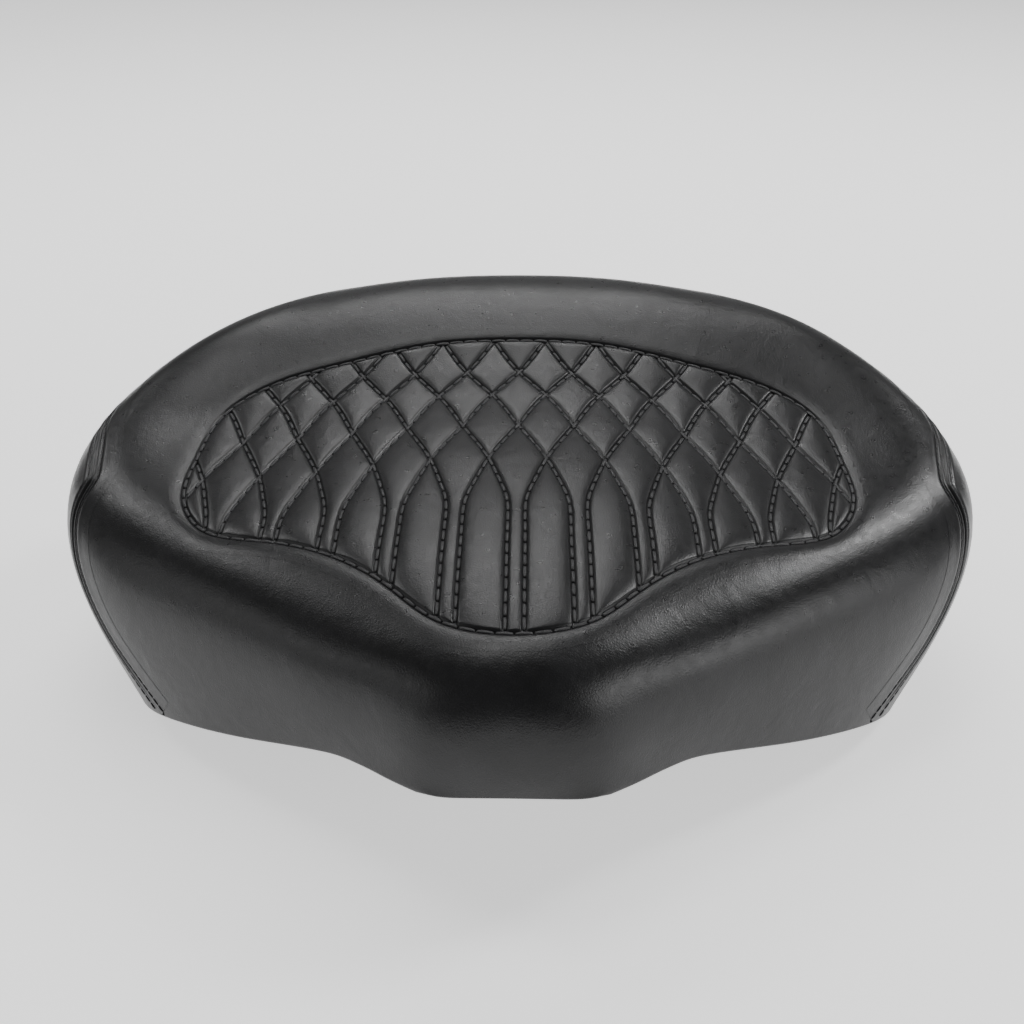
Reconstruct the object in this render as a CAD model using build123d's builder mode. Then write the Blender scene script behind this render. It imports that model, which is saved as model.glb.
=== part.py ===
"""Solo motorcycle seat: moulded pan, foam cushion, sewn vinyl cover with a quilted inlay, mounting hardware.

Millimetres. +Z is up, +Y points to the rear of the motorcycle, the nose points to -Y.
The origin is on the resting plane, under the middle of the seat and its rear bracket.
Guide curves are written from the seat's own datum, which lies AFT of the origin.
"""

import os

from build123d import *

os.makedirs("parts", exist_ok=True)

# ---------------------------------------------------------------- driving dimensions
AFT = -12.0                 # datum of the guide curves, seen from the origin
HALF_WIDTH = 205.0          # widest half width of the cushion
NOSE_Y = -176.0             # front face of the nose
REAR_Y = 175.0              # back of the cushion
ROUND_Y = -20.0             # where the rounded rear half of the outline starts
ROUND_POWER = 2.1           # squareness of the rounded rear half
SKIRT_TUCK = 5.0            # how far the hem lies inside the bulge of the skirt

COVER = 1.2                 # vinyl thickness
SCRIM = 3.0                 # foam-backed scrim sewn to the quilted vinyl
TOPPER = 12.0               # soft comfort foam below the inlay
GAP = 0.1                   # air between nested layers
PAN_GAP = 0.3               # air between the pan and the foam
SEAM_GAP = 0.4              # width of a sewn seam between two cover panels
FOLD = 16.0                 # hem allowance folded under the pan edge

PAN = 3.2                   # pan wall thickness
FLANGE = 25.0               # width of the flat pan edge
PAN_RISE = 30.0             # height of the pan roof over its edge
WALL_LEAN = 8.0             # how far the pan walls lean inwards over their height
ROOF_FILLET = 7.0
PAN_FRONT, PAN_BACK = -148.0, 150.0
RIB, RIB_DROP = 2.4, 9.0    # thickness of a pan rib and how far it hangs from the roof
RIBS_ALONG = (-34, 34)
RIBS_ACROSS = (-84, -24, 44, 84)
DRAIN_R = 3.0
DRAINS = [(-52, 60), (52, 60), (-52, -46), (52, -46)]

STAPLE_INSET = 9.0
STAPLE_PITCH = 20.0
STAPLE_CROWN = 10.0
STAPLE_LEG = 3.4
STAPLE_WIRE = 0.7

BUMPER_TOP, BUMPER_FOOT, BUMPER_H = 14.0, 11.0, 13.0    # radii and height
BUMPER_SEAT = 22.0          # level of the pan bosses that carry the bumpers
BUMPERS_FRONT = [(-72, -68), (72, -68)]
BUMPERS_MIDDLE = [(-112, 18), (112, 18)]
BUMPERS_REAR = [(-68, 104), (68, 104)]
COUNTERBORE = 5.0           # depth of the recess for the screw head
SCREW_R, SCREW_HEAD_R, SCREW_HEAD = 2.4, 4.8, 3.0
SCREW_BITE = 9.0            # how far a screw reaches into its boss
SLOT_L, SLOT_W, SLOT_DEEP = 6.0, 1.0, 1.6

STEEL = 3.0                 # thickness of both steel brackets
TONGUE_W, TONGUE_Z = 44.0, 36.0
TONGUE_FRONT, TONGUE_BACK = -158.0, -96.0
TONGUE_BOLTS = [(-12, -112), (12, -112)]
TONGUE_BOSS = (48, 30)
HOOK_L, HOOK_DROP, RAMP = 16.0, 6.0, 6.0        # offset tip of the tongue and the ramp to it
STRAP_W, STRAP_Z = 34.0, 15.0
STRAP_FRONT, STRAP_BACK = 96.0, 200.0
STRAP_BOLTS = [(0, 106), (0, 130)]
STRAP_BOSS = (38, 48)
STUD_R = 4.3                # hole for the 8 mm mounting screw of the rear fender
STUD_Y = 186.0
BOLT_R, BOLT_FLATS, BOLT_HEAD = 3.0, 10.0, 4.0
WASHER_R, WASHER = 6.2, 1.6
INSERT_R, INSERT_L = 4.5, 7.5
SLACK = 0.05                # play round a screw or an insert
BOLT_SLACK = 0.3            # play round a bolt in a bracket

BIG = 260.0                 # half size of cutting blocks
LOW = -20.0                 # level under everything
HEM_TAIL = 14.0             # how far the section curves run on below the hem
TALL = 60.0                 # bosses rise this far before they are cut to the pan roof

# ---------------------------------------------------------------- guide curves (y, value)
CROWN = [(-176, 68), (-171, 86), (-162, 96), (-148, 102), (-95, 111), (-38, 116), (16, 120),
         (54, 133), (85, 143), (108, 146), (132, 138), (155, 115), (168, 91), (175, 70)]
MIDWAY = [(-176, 67), (-171, 82), (-162, 92), (-148, 97), (-95, 103), (-38, 103), (16, 112),
          (54, 130), (85, 141), (108, 144), (132, 136), (155, 112), (168, 88), (175, 68)]
SHOULDER = [(-176, 62), (-162, 76), (-148, 78), (-120, 76), (-95, 78), (-70, 86), (-38, 98), (0, 108),
            (25, 121), (57, 134), (85, 140), (108, 141), (132, 130), (155, 104), (168, 80), (175, 62)]
SHOULDER_X = [(-176, 20), (-162, 36), (-148, 50), (-120, 86), (-95, 126), (-70, 160), (-38, 182), (0, 190),
              (25, 182), (57, 158), (85, 128), (108, 104), (132, 86), (155, 56), (175, 16)]
BULGE = [(-176, 56), (-151, 50), (-124, 42), (-95, 36), (-76, 46), (-60, 62), (-38, 78), (0, 86),
         (60, 88), (120, 80), (175, 50)]
BULGE_X = [(-176, 32), (-168, 43), (-151, 66), (-124, 112), (-95, 156), (-80, 173), (-60, 193), (-40, 202),
           (-20, 205)]
REST = (-40, 70)            # stretch of the hem that lies on the resting plane
HEM = [(-176, 47), (-151, 42), (-124, 27), (-95, 13), (-70, 4), (REST[0], 0), (REST[1], 0), (90, 2), (110, 7),
       (145, 20), (175, 30)]
HEM_X = [(-176, 31), (-168, 42), (-151, 64), (-124, 109), (-95, 151), (-76, 165), (-40, 180), (-10, 188)]
SEAM = [(-110, 0), (-92, 16), (-76, 36), (-60, 62), (-45, 82), (-28, 98), (0, 104), (60, 108), (110, 104),
        (176, 70)]
INLAY = [(0, -149), (28, -140), (47, -121), (70, -101), (100, -86), (132, -72), (145, -50), (146, -20),
         (140, 12), (122, 29), (85, 42), (42, 52), (0, 54)]

STATIONS = [-176, -171, -162, -148, -124, -95, -70, -38, 0, 30, 57, 85, 108, 132, 155, 168, 175]
PAN_STATIONS = [-148, -130, -110, -85, -50, 0, 50, 90, 120, 150]


def across(y):
    """Upright plane across the seat at y of the datum; its own axes are X and Z."""
    return Plane.XZ.offset(-(y + AFT))


def level(z):
    """Level plane at z, with its own origin at the datum."""
    return Plane((0, AFT, z))


def lengthwise(x=0):
    """Upright plane along the seat; its own axes are Y from the datum and Z."""
    return Plane(origin=(x, AFT, 0), x_dir=(0, 1, 0), z_dir=(1, 0, 0))


def through(knots, y):
    """Value at y of a smooth curve that passes through the knots without overshoot."""
    if y <= knots[0][0]:
        return knots[0][1]
    if y >= knots[-1][0]:
        return knots[-1][1]
    slopes = [(b[1] - a[1]) / (b[0] - a[0]) for a, b in zip(knots, knots[1:])]
    span = max(i for i, knot in enumerate(knots[:-1]) if knot[0] <= y)

    def tangent(i):
        if i in (0, len(knots) - 1):
            return slopes[0] if i == 0 else slopes[-1]
        before, after = slopes[i - 1], slopes[i]
        return 0.0 if before * after <= 0 else 2 * before * after / (before + after)

    (y0, v0), (y1, v1) = knots[span], knots[span + 1]
    t = (y - y0) / (y1 - y0)
    ends = (1 + 2 * t) * (1 - t) ** 2 * v0 + t * t * (3 - 2 * t) * v1
    return ends + (y1 - y0) * (t * (1 - t) ** 2 * tangent(span) - t * t * (1 - t) * tangent(span + 1))


def rounded_half(y):
    """Half width of the rounded rear half of the outline."""
    reach = (y - ROUND_Y) / (REAR_Y + 2 - ROUND_Y)
    return HALF_WIDTH * (1 - reach ** ROUND_POWER) ** (1 / ROUND_POWER)


def bulge_x(y):
    return through(BULGE_X, y) if y < ROUND_Y else rounded_half(y)


def hem_x(y):
    return through(HEM_X, y) if y < ROUND_Y else min(through(HEM_X, y), rounded_half(y) - SKIRT_TUCK)


def hem_z(y):
    return through(HEM, y)


# ---------------------------------------------------------------- shared bodies
def above_hem(lift):
    """Everything higher than the hem surface raised by lift."""
    with BuildPart() as space:
        with BuildSketch(lengthwise()):
            with BuildLine():
                nose = Spline(*[(y, hem_z(y) + lift) for y in (-200, -176, -151, -124, -95, -70, REST[0])],
                              tangents=((1, 0), (1, 0)))
                Line((REST[0], lift), (REST[1], lift))
                tail = Spline(*[(y, hem_z(y) + lift) for y in (REST[1], 90, 110, 145, 175, 200)],
                              tangents=((1, 0), (1, 0)))
                Polyline(nose @ 0, (-200, BIG), (200, BIG), tail @ 1)
            make_face()
        extrude(amount=BIG, both=True)
    return space.part


def cushion(inset, lift):
    """Closed block with the seat's outer form, shrunk by inset, reaching down to the hem plus lift."""
    middle = (REAR_Y + NOSE_Y) / 2
    shrink = 1 - 2 * inset / (REAR_Y - NOSE_Y)
    with BuildPart() as block:
        for station in STATIONS:
            crown = (0, through(CROWN, station) - inset)
            shoulder = (through(SHOULDER_X, station) - 0.8 * inset, through(SHOULDER, station) - 0.7 * inset)
            midway = (0.55 * shoulder[0], through(MIDWAY, station) - inset)
            bulge = (bulge_x(station) - inset, through(BULGE, station))
            hem = (hem_x(station) - inset, hem_z(station) - HEM_TAIL)
            with BuildSketch(across(middle + (station - middle) * shrink)):
                with BuildLine():
                    Spline(crown, midway, shoulder, bulge, tangents=((1, 0), (0, -1)))
                    Spline(bulge, hem, tangents=((0, -1), (hem[0] - bulge[0], 2 * (hem[1] - bulge[1]))))
                    Line(hem, (0, hem[1]))
                    mirror(about=Plane.YZ)
                make_face()
        loft()
        add(above_hem(lift), mode=Mode.INTERSECT)
    return block.part


def closed_outline(knots, inset):
    """Face inside a smooth closed outline, drawn from its right half and moved inwards by inset."""
    half = [Vector(*knot) for knot in knots]
    left = [Vector(-knot[0], knot[1]) for knot in reversed(knots[1:-1])]
    whole = Edge.make_spline(half + left, periodic=True)
    with BuildSketch() as outline:
        with BuildLine():
            if inset:
                spots = [(whole.position_at(i / 48), whole.tangent_at(i / 48)) for i in range(48)]
                Spline(*[(p.X - inset * t.Y, p.Y + inset * t.X) for p, t in spots], periodic=True)
            else:
                add(whole)
        make_face()
    return outline.sketch


def inlay_prism(inset):
    """Upright prism over the inlay's outline, shrunk by inset."""
    with BuildPart() as prism:
        with BuildSketch(level(TALL)):
            add(closed_outline(INLAY, inset))
        extrude(amount=BIG)
    return prism.part


def hem_outline(inset):
    """Flat outline of the hem, shrunk by inset, drawn in the datum's own axes."""
    rows = [-168, -151, -124, -95, -76, -40, 0, 40, 80, 115, 140, 160, 171]
    knots = [(0, NOSE_Y), (22, NOSE_Y)] + [(hem_x(y), y) for y in rows] + [(0, REAR_Y)]
    return closed_outline(knots, inset)


def pan_core(grow):
    """Raised middle of the pan as a solid, grown by grow on every side but the bottom."""
    with BuildPart() as core:
        for station in PAN_STATIONS:
            end = {PAN_FRONT: -grow, PAN_BACK: grow}.get(station, 0)
            foot = hem_x(station) - FLANGE + grow
            roof = hem_z(station) + PAN_RISE + grow
            low = hem_z(station) - HEM_TAIL
            with BuildSketch(across(station + end)):
                with BuildLine():
                    Polyline((0, low), (foot, low), (foot, hem_z(station)), (foot - WALL_LEAN, roof), (0, roof))
                    mirror(about=Plane.YZ)
                make_face()
                roof_corners = [v for v in vertices() if abs(v.Y - roof) < 0.01 and abs(v.X) > 1]
                fillet(roof_corners, max(ROOF_FILLET + grow, 3))
        loft()
    return core.part


def skirt_zone(lift):
    """Everything below the side seam raised by lift."""
    with BuildPart() as zone:
        with BuildSketch(lengthwise()):
            with BuildLine():
                edge = Spline(*[(y, z + lift) for y, z in SEAM])
                Polyline(edge @ 0, (SEAM[0][0], LOW), (BIG, LOW), (BIG, (edge @ 1).Y), edge @ 1)
            make_face()
        extrude(amount=BIG, both=True)
    return zone.part


def staple_planes():
    """Planes of the hem staples: X along the hem, Z into the pan edge, Y across the wire."""
    path = hem_outline(STAPLE_INSET).face().outer_wire()
    count = int(path.length / STAPLE_PITCH)
    planes = []
    for i in range(count):
        spot, run = path.position_at((i + 0.5) / count), path.tangent_at((i + 0.5) / count)
        rise = (hem_z(spot.Y + 1) - hem_z(spot.Y - 1)) / 2
        along = Vector(run.X, run.Y, rise * run.Y)
        upward = Vector(0, -rise, 1).normalized()
        planes.append(Plane(Vector(spot.X, spot.Y + AFT, hem_z(spot.Y)), x_dir=along, z_dir=along.cross(upward)))
    return planes


# ---------------------------------------------------------------- hem staples
with BuildPart() as hem_staples:
    for place in staple_planes():
        with BuildSketch(place):
            Rectangle(STAPLE_CROWN, STAPLE_LEG, align=(Align.CENTER, Align.MIN))
            with Locations((0, STAPLE_WIRE)):
                Rectangle(STAPLE_CROWN - 2 * STAPLE_WIRE, STAPLE_LEG, align=(Align.CENTER, Align.MIN),
                          mode=Mode.SUBTRACT)
        extrude(amount=STAPLE_WIRE / 2, both=True)
hem_staples.part.label = "hem_staples"
export_step(hem_staples.part, "parts/hem_staples.step")

# ---------------------------------------------------------------- sewn cover
outer = cushion(0, 0)
under_vinyl = cushion(COVER, COVER)
skirt_below = skirt_zone(0)
inlay_column = inlay_prism(0)

with BuildPart() as cover_shell:
    add(outer)
    with BuildSketch(level(LOW)):
        add(hem_outline(FOLD))
    extrude(amount=TALL, mode=Mode.SUBTRACT)
    add(under_vinyl, mode=Mode.SUBTRACT)
    add(hem_staples.part, mode=Mode.SUBTRACT)

with BuildPart() as cover_top:
    add(cover_shell.part)
    add(skirt_zone(SEAM_GAP), mode=Mode.SUBTRACT)
    add(inlay_column, mode=Mode.SUBTRACT)
cover_top.part.label = "cover_top"
export_step(cover_top.part, "parts/cover_top.step")


def side_skirt(side):
    """Cover panel below the side seam, from the front corner to the middle of the back."""
    with BuildPart() as skirt:
        add(cover_shell.part)
        add(skirt_below, mode=Mode.INTERSECT)
        with BuildSketch(level(LOW)):
            with Locations((side * (BIG + SEAM_GAP / 2), 0)):
                Rectangle(2 * BIG, 2 * BIG)
        extrude(amount=BIG, mode=Mode.INTERSECT)
    return skirt.part


with BuildPart() as side_skirt_left:
    add(side_skirt(-1))
side_skirt_left.part.label = "side_skirt_left"
export_step(side_skirt_left.part, "parts/side_skirt_left.step")

with BuildPart() as side_skirt_right:
    add(side_skirt(1))
side_skirt_right.part.label = "side_skirt_right"
export_step(side_skirt_right.part, "parts/side_skirt_right.step")

with BuildPart() as quilted_inlay:
    add(outer)
    add(under_vinyl, mode=Mode.SUBTRACT)
    add(inlay_prism(SEAM_GAP), mode=Mode.INTERSECT)
quilted_inlay.part.label = "quilted_inlay"
export_step(quilted_inlay.part, "parts/quilted_inlay.step")

# ---------------------------------------------------------------- foam
scrim_top = COVER + GAP
topper_top = scrim_top + SCRIM + GAP
core_top = topper_top + TOPPER + GAP

with BuildPart() as inlay_scrim:
    add(cushion(scrim_top, COVER))
    add(cushion(topper_top - GAP, COVER), mode=Mode.SUBTRACT)
    add(inlay_prism(1.0), mode=Mode.INTERSECT)
inlay_scrim.part.label = "inlay_scrim"
export_step(inlay_scrim.part, "parts/inlay_scrim.step")

with BuildPart() as comfort_foam:
    add(cushion(topper_top, COVER))
    add(cushion(core_top - GAP, COVER), mode=Mode.SUBTRACT)
    add(inlay_prism(6.0), mode=Mode.INTERSECT)
comfort_foam.part.label = "comfort_foam"
export_step(comfort_foam.part, "parts/comfort_foam.step")


def pocket(depth, inset):
    """Space above a depth under the seat's surface, within the inlay's outline."""
    with BuildPart() as space:
        add(inlay_prism(inset))
        add(cushion(depth, COVER), mode=Mode.SUBTRACT)
    return space.part


with BuildPart() as main_foam:
    add(cushion(COVER + GAP, COVER + GAP + PAN + PAN_GAP))
    add(pan_core(PAN_GAP), mode=Mode.SUBTRACT)
    add(pocket(topper_top, 0.9), mode=Mode.SUBTRACT)
    add(pocket(core_top, 5.9), mode=Mode.SUBTRACT)
main_foam.part.label = "main_foam"
export_step(main_foam.part, "parts/main_foam.step")

# ---------------------------------------------------------------- pan
def centre_of(spots):
    """Middle of a pair of places."""
    return tuple(sum(values) / len(spots) for values in zip(*spots))


pan_inside = pan_core(-PAN)
tongue_top = TONGUE_Z + STEEL
strap_top = STRAP_Z + STEEL
bumper_spots = BUMPERS_FRONT + BUMPERS_MIDDLE + BUMPERS_REAR

with BuildPart() as pan_stiffeners:
    with BuildSketch(level(0)):
        with Locations(*[(x, 0) for x in RIBS_ALONG]):
            Rectangle(RIB, 2 * BIG)
        with Locations(*[(0, y) for y in RIBS_ACROSS]):
            Rectangle(2 * BIG, RIB)
    extrude(amount=BIG)
    add(pan_inside, mode=Mode.INTERSECT)
    add(above_hem(PAN_RISE - PAN - RIB_DROP), mode=Mode.INTERSECT)
    with BuildSketch(level(0)):
        with Locations((0, (PAN_FRONT + PAN_BACK) / 2)):
            Rectangle(2 * BIG, PAN_BACK - PAN_FRONT - 2 * RIB_DROP - 3 * PAN)
    extrude(amount=BIG, mode=Mode.INTERSECT)
    with BuildSketch(level(LOW)):
        add(hem_outline(FLANGE + WALL_LEAN + 2))
    extrude(amount=BIG, mode=Mode.INTERSECT)

with BuildPart() as pan_bosses:
    with BuildSketch(level(BUMPER_SEAT)):
        with Locations(*bumper_spots):
            Circle(BUMPER_TOP + 1)
    extrude(amount=TALL)
    with BuildSketch(level(tongue_top)):
        with Locations(centre_of(TONGUE_BOLTS)):
            RectangleRounded(*TONGUE_BOSS, 4)
    extrude(amount=TALL)
    with BuildSketch(level(strap_top)):
        with Locations(centre_of(STRAP_BOLTS)):
            RectangleRounded(*STRAP_BOSS, 4)
    extrude(amount=TALL)
    add(pan_inside, mode=Mode.INTERSECT)

with BuildPart() as pan_hat:
    add(pan_core(0))
    add(pan_inside, mode=Mode.SUBTRACT)
    add(above_hem(COVER + GAP), mode=Mode.INTERSECT)

with BuildPart() as seat_pan:
    add(cushion(COVER + GAP, COVER + GAP))
    add(above_hem(COVER + GAP + PAN), mode=Mode.SUBTRACT)
    add(pan_core(-PAN / 2), mode=Mode.SUBTRACT)
    add(pan_hat.part)
    add(pan_stiffeners.part)
    add(pan_bosses.part)
    with BuildSketch(level(0)):
        with Locations(*DRAINS):
            Circle(DRAIN_R)
    extrude(amount=BIG, mode=Mode.SUBTRACT)
    with BuildSketch(level(BUMPER_SEAT)):
        with Locations(*bumper_spots):
            Circle(SCREW_R + SLACK)
    extrude(amount=SCREW_BITE, mode=Mode.SUBTRACT)
    with BuildSketch(level(tongue_top)):
        with Locations(*TONGUE_BOLTS):
            Circle(INSERT_R + SLACK)
    extrude(amount=INSERT_L, mode=Mode.SUBTRACT)
    with BuildSketch(level(strap_top)):
        with Locations(*STRAP_BOLTS):
            Circle(INSERT_R + SLACK)
    extrude(amount=INSERT_L, mode=Mode.SUBTRACT)
    add(hem_staples.part, mode=Mode.SUBTRACT)
seat_pan.part.label = "seat_pan"
export_step(seat_pan.part, "parts/seat_pan.step")


# ---------------------------------------------------------------- rubber bumpers
def bumper_set(spots):
    """Tapered rubber bumpers with a counterbore for the fixing screw."""
    foot = BUMPER_SEAT - BUMPER_H
    with BuildPart() as rubbers:
        for x, y in spots:
            with Locations((x, y + AFT, foot + BUMPER_H / 2)):
                Cone(BUMPER_FOOT, BUMPER_TOP, BUMPER_H)
        with BuildSketch(level(foot)):
            with Locations(*spots):
                Circle(SCREW_R + SLACK)
        extrude(amount=BUMPER_H, mode=Mode.SUBTRACT)
        with BuildSketch(level(foot)):
            with Locations(*spots):
                Circle(SCREW_HEAD_R + 0.6)
        extrude(amount=COUNTERBORE, mode=Mode.SUBTRACT)
        feet = edges().filter_by(GeomType.CIRCLE).filter_by(lambda e: abs(e.radius - BUMPER_FOOT) < 0.01)
        fillet(feet, 1.5)
    return rubbers.part


with BuildPart() as bumpers_front:
    add(bumper_set(BUMPERS_FRONT))
bumpers_front.part.label = "bumpers_front"
export_step(bumpers_front.part, "parts/bumpers_front.step")

with BuildPart() as bumpers_middle:
    add(bumper_set(BUMPERS_MIDDLE))
bumpers_middle.part.label = "bumpers_middle"
export_step(bumpers_middle.part, "parts/bumpers_middle.step")

with BuildPart() as bumpers_rear:
    add(bumper_set(BUMPERS_REAR))
bumpers_rear.part.label = "bumpers_rear"
export_step(bumpers_rear.part, "parts/bumpers_rear.step")

with BuildPart() as bumper_screws:
    head_low = BUMPER_SEAT - BUMPER_H + COUNTERBORE - SCREW_HEAD
    with BuildSketch(level(head_low)):
        with Locations(*bumper_spots):
            Circle(SCREW_HEAD_R)
    extrude(amount=SCREW_HEAD)
    with BuildSketch(level(head_low)):
        with Locations(*bumper_spots):
            Circle(SCREW_R)
    extrude(amount=BUMPER_SEAT + SCREW_BITE - 1 - head_low)
    with BuildSketch(level(head_low)):
        with Locations(*bumper_spots):
            Rectangle(SLOT_L, SLOT_W)
            Rectangle(SLOT_W, SLOT_L)
    extrude(amount=SLOT_DEEP, mode=Mode.SUBTRACT)
bumper_screws.part.label = "bumper_screws"
export_step(bumper_screws.part, "parts/bumper_screws.step")

# ---------------------------------------------------------------- steel brackets
with BuildPart() as front_tongue:
    with BuildSketch(lengthwise()):
        with BuildLine():
            FilletPolyline((TONGUE_BACK, TONGUE_Z), (TONGUE_FRONT + HOOK_L + RAMP, TONGUE_Z),
                           (TONGUE_FRONT + HOOK_L, TONGUE_Z - HOOK_DROP), (TONGUE_FRONT, TONGUE_Z - HOOK_DROP),
                           radius=4)
            offset(amount=STEEL, side=Side.RIGHT)
        make_face()
    extrude(amount=TONGUE_W / 2, both=True)
    with BuildSketch(level(TONGUE_Z)):
        with Locations(*TONGUE_BOLTS):
            Circle(BOLT_R + BOLT_SLACK)
    extrude(amount=STEEL, mode=Mode.SUBTRACT)
    fillet(edges().filter_by(Axis.Z), 6)
front_tongue.part.label = "front_tongue"
export_step(front_tongue.part, "parts/front_tongue.step")

with BuildPart() as rear_bracket:
    with BuildSketch(level(STRAP_Z)):
        with Locations((0, (STRAP_FRONT + STRAP_BACK) / 2)):
            RectangleRounded(STRAP_W, STRAP_BACK - STRAP_FRONT, 12)
        with Locations(*STRAP_BOLTS):
            Circle(BOLT_R + BOLT_SLACK, mode=Mode.SUBTRACT)
        with Locations((0, STUD_Y)):
            Circle(STUD_R, mode=Mode.SUBTRACT)
    extrude(amount=STEEL)
rear_bracket.part.label = "rear_bracket"
export_step(rear_bracket.part, "parts/rear_bracket.step")


# ---------------------------------------------------------------- bracket fasteners
def bolt_set(spots, face):
    """Hexagon bolts whose washers bear on a level face from below."""
    with BuildPart() as bolts:
        with BuildSketch(level(face - WASHER - BOLT_HEAD)):
            with Locations(*spots):
                RegularPolygon(BOLT_FLATS / 2, 6, major_radius=False)
        extrude(amount=BOLT_HEAD)
        with BuildSketch(level(face - WASHER - BOLT_HEAD)):
            with Locations(*spots):
                Circle(BOLT_R)
        extrude(amount=BOLT_HEAD + WASHER + STEEL + INSERT_L - 0.5)
    return bolts.part


def ring_set(spots, face, height, outer_r, inner_r):
    """Flat rings or sleeves that stand on a level face."""
    with BuildPart() as rings:
        with BuildSketch(level(face)):
            with Locations(*spots):
                Circle(outer_r)
                Circle(inner_r, mode=Mode.SUBTRACT)
        extrude(amount=height)
    return rings.part


with BuildPart() as front_bolts:
    add(bolt_set(TONGUE_BOLTS, TONGUE_Z))
front_bolts.part.label = "front_bolts"
export_step(front_bolts.part, "parts/front_bolts.step")

with BuildPart() as rear_bolts:
    add(bolt_set(STRAP_BOLTS, STRAP_Z))
rear_bolts.part.label = "rear_bolts"
export_step(rear_bolts.part, "parts/rear_bolts.step")

with BuildPart() as bracket_washers:
    add(ring_set(TONGUE_BOLTS, TONGUE_Z - WASHER, WASHER, WASHER_R, BOLT_R + 2 * SLACK))
    add(ring_set(STRAP_BOLTS, STRAP_Z - WASHER, WASHER, WASHER_R, BOLT_R + 2 * SLACK))
bracket_washers.part.label = "bracket_washers"
export_step(bracket_washers.part, "parts/bracket_washers.step")

with BuildPart() as threaded_inserts:
    add(ring_set(TONGUE_BOLTS, tongue_top, INSERT_L, INSERT_R, BOLT_R + SLACK))
    add(ring_set(STRAP_BOLTS, strap_top, INSERT_L, INSERT_R, BOLT_R + SLACK))
threaded_inserts.part.label = "threaded_inserts"
export_step(threaded_inserts.part, "parts/threaded_inserts.step")
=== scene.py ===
"""Solo motorcycle seat: sewn black vinyl over foam, quilted inlay, moulded pan and its hardware.

Shape functions work in millimetres in the seat's own datum (X across, Y to the rear, Z up).
place() turns them into metres in the part's frame.
"""

from math import cos, pi, radians, sin

import bpy
import numpy as np
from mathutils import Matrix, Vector


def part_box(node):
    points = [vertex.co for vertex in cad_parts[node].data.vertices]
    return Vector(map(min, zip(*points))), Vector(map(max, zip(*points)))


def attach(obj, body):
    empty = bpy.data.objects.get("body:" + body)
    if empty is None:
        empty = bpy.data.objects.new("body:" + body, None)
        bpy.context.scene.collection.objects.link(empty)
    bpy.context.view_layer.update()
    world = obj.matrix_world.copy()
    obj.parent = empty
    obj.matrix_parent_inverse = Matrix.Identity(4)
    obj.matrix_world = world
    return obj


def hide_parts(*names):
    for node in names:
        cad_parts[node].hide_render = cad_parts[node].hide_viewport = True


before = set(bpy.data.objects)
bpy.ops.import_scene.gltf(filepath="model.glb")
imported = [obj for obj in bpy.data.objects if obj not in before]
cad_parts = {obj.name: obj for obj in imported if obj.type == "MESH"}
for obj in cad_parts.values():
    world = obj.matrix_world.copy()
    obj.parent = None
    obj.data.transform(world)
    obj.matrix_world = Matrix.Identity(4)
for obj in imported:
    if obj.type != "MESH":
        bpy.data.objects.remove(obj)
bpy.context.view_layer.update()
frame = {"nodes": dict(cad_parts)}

# ---------------------------------------------------------------- sizes, in millimetres
MM = 0.001
NOSE_Y = -176.0                                     # front face of the nose in the datum
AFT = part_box("cover_top")[0].y / MM - NOSE_Y        # the datum, seen from the part's origin

PITCH = 25.4                # across the lattice, from one line to its neighbour
TWIN_GAP = 7.0              # between the two lines of a pair at their feet
STITCH = 7.0                # length of one decorative stitch
THREAD_R = 0.8
SEAM_STITCH = 3.9           # length of one stitch beside the side seam
SEAM_THREAD_R = 0.34
SEAM_ROW = 3.0              # from the side seam to each topstitched row

FINE = 0.45                 # mesh step in the quilted inlay
BAND = 9.0                  # how far the fine mesh runs past the inlay's outline
LIFT = 0.08                 # fine mesh over the smooth cover, where they overlap

FOLD = 15.0                 # hem allowance folded under the pan edge
EDGE_R = 2.2                # rounding of the folded hem
FOLD_RISE = 0.3             # how far the folded allowance lies nearer the pan
FOLD_LIP = 1.0              # turned-up end of the allowance

TINY = 1e-4                 # step in the skin's parameters for its slopes
BLOCK = 4000                # points compared at a time, which keeps the memory small

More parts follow.
